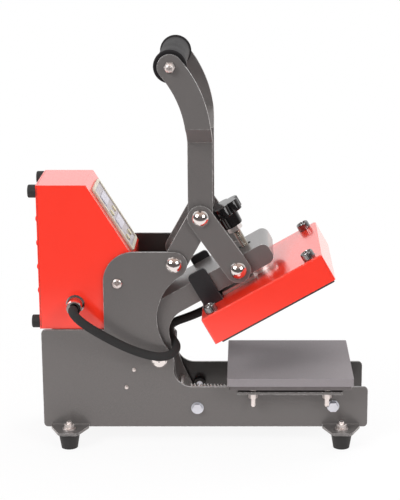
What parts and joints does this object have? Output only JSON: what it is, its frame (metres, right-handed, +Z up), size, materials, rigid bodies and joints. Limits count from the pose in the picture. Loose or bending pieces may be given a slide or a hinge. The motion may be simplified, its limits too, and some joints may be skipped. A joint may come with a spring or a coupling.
{
  "type": "swing-arm heat press",
  "caption": "Small toggle-lever heat press: a tilting square heated head over a square padded platen, on a plate frame with a sloped control box at the rear.",
  "frame": {"origin": "middle of the press's length and width, on the floor under the rubber feet", "axes": "+X to the operator's side, +Z up, and Y across the press; the handle folds towards +X"},
  "size_m": [0.401, 0.176, 0.4775],
  "materials": {
    "dark_paint": "dark warm grey hammertone powder coat",
    "red_paint": "bright red gloss paint",
    "black_paint": "black satin paint",
    "bright_steel": "bright turned steel",
    "zinc_steel": "bluish zinc plate",
    "spring_steel": "drawn spring wire",
    "polished": "polished chrome plate",
    "bronze": "sintered bronze",
    "pad_silicone": "grey closed-cell silicone sponge",
    "black_rubber": "black rubber",
    "platen_steel": "grey phosphate-coated steel",
    "heater_alloy": "black non-stick coat on aluminium",
    "insulation": "ceramic fibre board",
    "grip_foam": "matt black moulded rubber",
    "knob_plastic": "glossy black phenolic",
    "black_plastic": "black moulded plastic",
    "bezel_plastic": "cream moulded plastic",
    "panel_film": "satin grey film",
    "window_tint": "dark tinted window",
    "board_green": "green solder mask",
    "key_caps": "pale yellow key caps",
    "rocker_red": "translucent red rocker",
    "cable_jacket": "black rubber jacket"
  },
  "bodies": {
    "frame": {"side_plate_left": "dark_paint", "side_plate_right": "dark_paint", "rear_cross_brace": "dark_paint", "front_rod": "bright_steel", "frame_bolts": "zinc_steel", "stop_sleeves": "black_rubber", "silicone_pad": "pad_silicone", "platen_plate": "platen_steel", "platen_studs": "bright_steel", "platen_nuts": "bright_steel", "rubber_feet": "black_rubber", "foot_bolts": "bright_steel", "control_housing": "red_paint", "housing_screws": "zinc_steel", "rear_panel": "red_paint", "rear_bumpers": "black_rubber", "control_bezel": "bezel_plastic", "key_panel": "panel_film", "display_windows": "window_tint", "controller_board": "board_green", "solid_state_relay": "black_plastic", "power_inlet": "black_plastic", "heater_socket": "polished", "heater_plug": "polished", "heater_cable": "cable_jacket", "arm_pivot_shaft": "bright_steel", "lever_pivot_shaft": "bright_steel", "pivot_caps": "polished", "return_spring": "spring_steel"},
    "lever": {"lever_plate_left": "dark_paint", "lever_plate_right": "dark_paint", "grip_rod": "bright_steel", "handle_grip": "grip_foam", "grip_screws": "bright_steel", "toggle_pins": "polished"},
    "link": {"link_left": "dark_paint", "link_right": "dark_paint", "link_pins": "polished", "link_spacers": "bright_steel"},
    "arm": {"arm_plate_left": "dark_paint", "arm_plate_right": "dark_paint", "arm_front_cover": "dark_paint", "nut_bar": "platen_steel", "tail_bar": "bright_steel", "arm_bushes": "bronze"},
    "head": {"head_cover": "red_paint", "head_insulation": "insulation", "heater_platen": "heater_alloy", "cover_screws": "black_plastic", "guide_bracket": "black_paint", "thrust_disc": "bright_steel", "cable_gland": "black_plastic"},
    "screw": {"pressure_screw": "bright_steel", "pressure_knob": "knob_plastic", "lock_nut": "bright_steel"},
    "temp_up_key": {"key_temp_up": "key_caps"},
    "temp_down_key": {"key_temp_down": "key_caps"},
    "time_up_key": {"key_time_up": "key_caps"},
    "time_down_key": {"key_time_down": "key_caps"},
    "rocker": {"rocker_switch": "rocker_red"}
  },
  "joints": [
    {"name": "arm_pivot", "type": "hinge", "parent": "frame", "child": "arm", "pos_m": [-0.0494, 0, 0.1041], "axis": [0, 1, 0], "range_deg": [0, 29.5], "stiffness_Nm_per_rad": 6, "springref_deg": -68.75, "deforming": ["return_spring", "heater_cable"]},
    {"name": "lever_pivot", "type": "hinge", "parent": "frame", "child": "lever", "pos_m": [-0.0307, 0, 0.2214], "axis": [0, 1, 0], "range_deg": [0, 67.8]},
    {"name": "toggle_pivot", "type": "hinge", "parent": "lever", "child": "link", "pos_m": [0.00086, 0, 0.27788], "axis": [0, 1, 0], "range_deg": [-72.9, 0]},
    {"name": "head_height", "type": "slide", "parent": "arm", "child": "head", "axis": [0.4924, 0, -0.8704], "range_m": [-0.0025, 0.0036]},
    {"name": "pressure_screw_turn", "type": "hinge", "parent": "head", "child": "screw", "pos_m": [0.08342, 0, 0.17924], "axis": [0.4924, 0, -0.8704], "range_deg": [-600, 864]},
    {"name": "temp_up_press", "type": "slide", "parent": "frame", "child": "temp_up_key", "axis": [-0.8504, 0, -0.5262], "range_m": [0, 0.0008], "stiffness_N_per_m": 900, "springref_m": -0.0006},
    {"name": "temp_down_press", "type": "slide", "parent": "frame", "child": "temp_down_key", "axis": [-0.8504, 0, -0.5262], "range_m": [0, 0.0008], "stiffness_N_per_m": 900, "springref_m": -0.0006},
    {"name": "time_up_press", "type": "slide", "parent": "frame", "child": "time_up_key", "axis": [-0.8504, 0, -0.5262], "range_m": [0, 0.0008], "stiffness_N_per_m": 900, "springref_m": -0.0006},
    {"name": "time_down_press", "type": "slide", "parent": "frame", "child": "time_down_key", "axis": [-0.8504, 0, -0.5262], "range_m": [0, 0.0008], "stiffness_N_per_m": 900, "springref_m": -0.0006},
    {"name": "power_rocker", "type": "hinge", "parent": "frame", "child": "rocker", "pos_m": [-0.1575, 0.0422, 0.2051], "axis": [1, 0, 0], "range_deg": [-16, 0]}
  ],
  "couplings": [
    {"joint": "lever_pivot", "follows": "arm_pivot", "ratio": 2.298},
    {"joint": "toggle_pivot", "follows": "arm_pivot", "ratio": -2.47},
    {"joint": "pressure_screw_turn", "follows": "head_height", "rad_per_m": 4188.8}
  ]
}
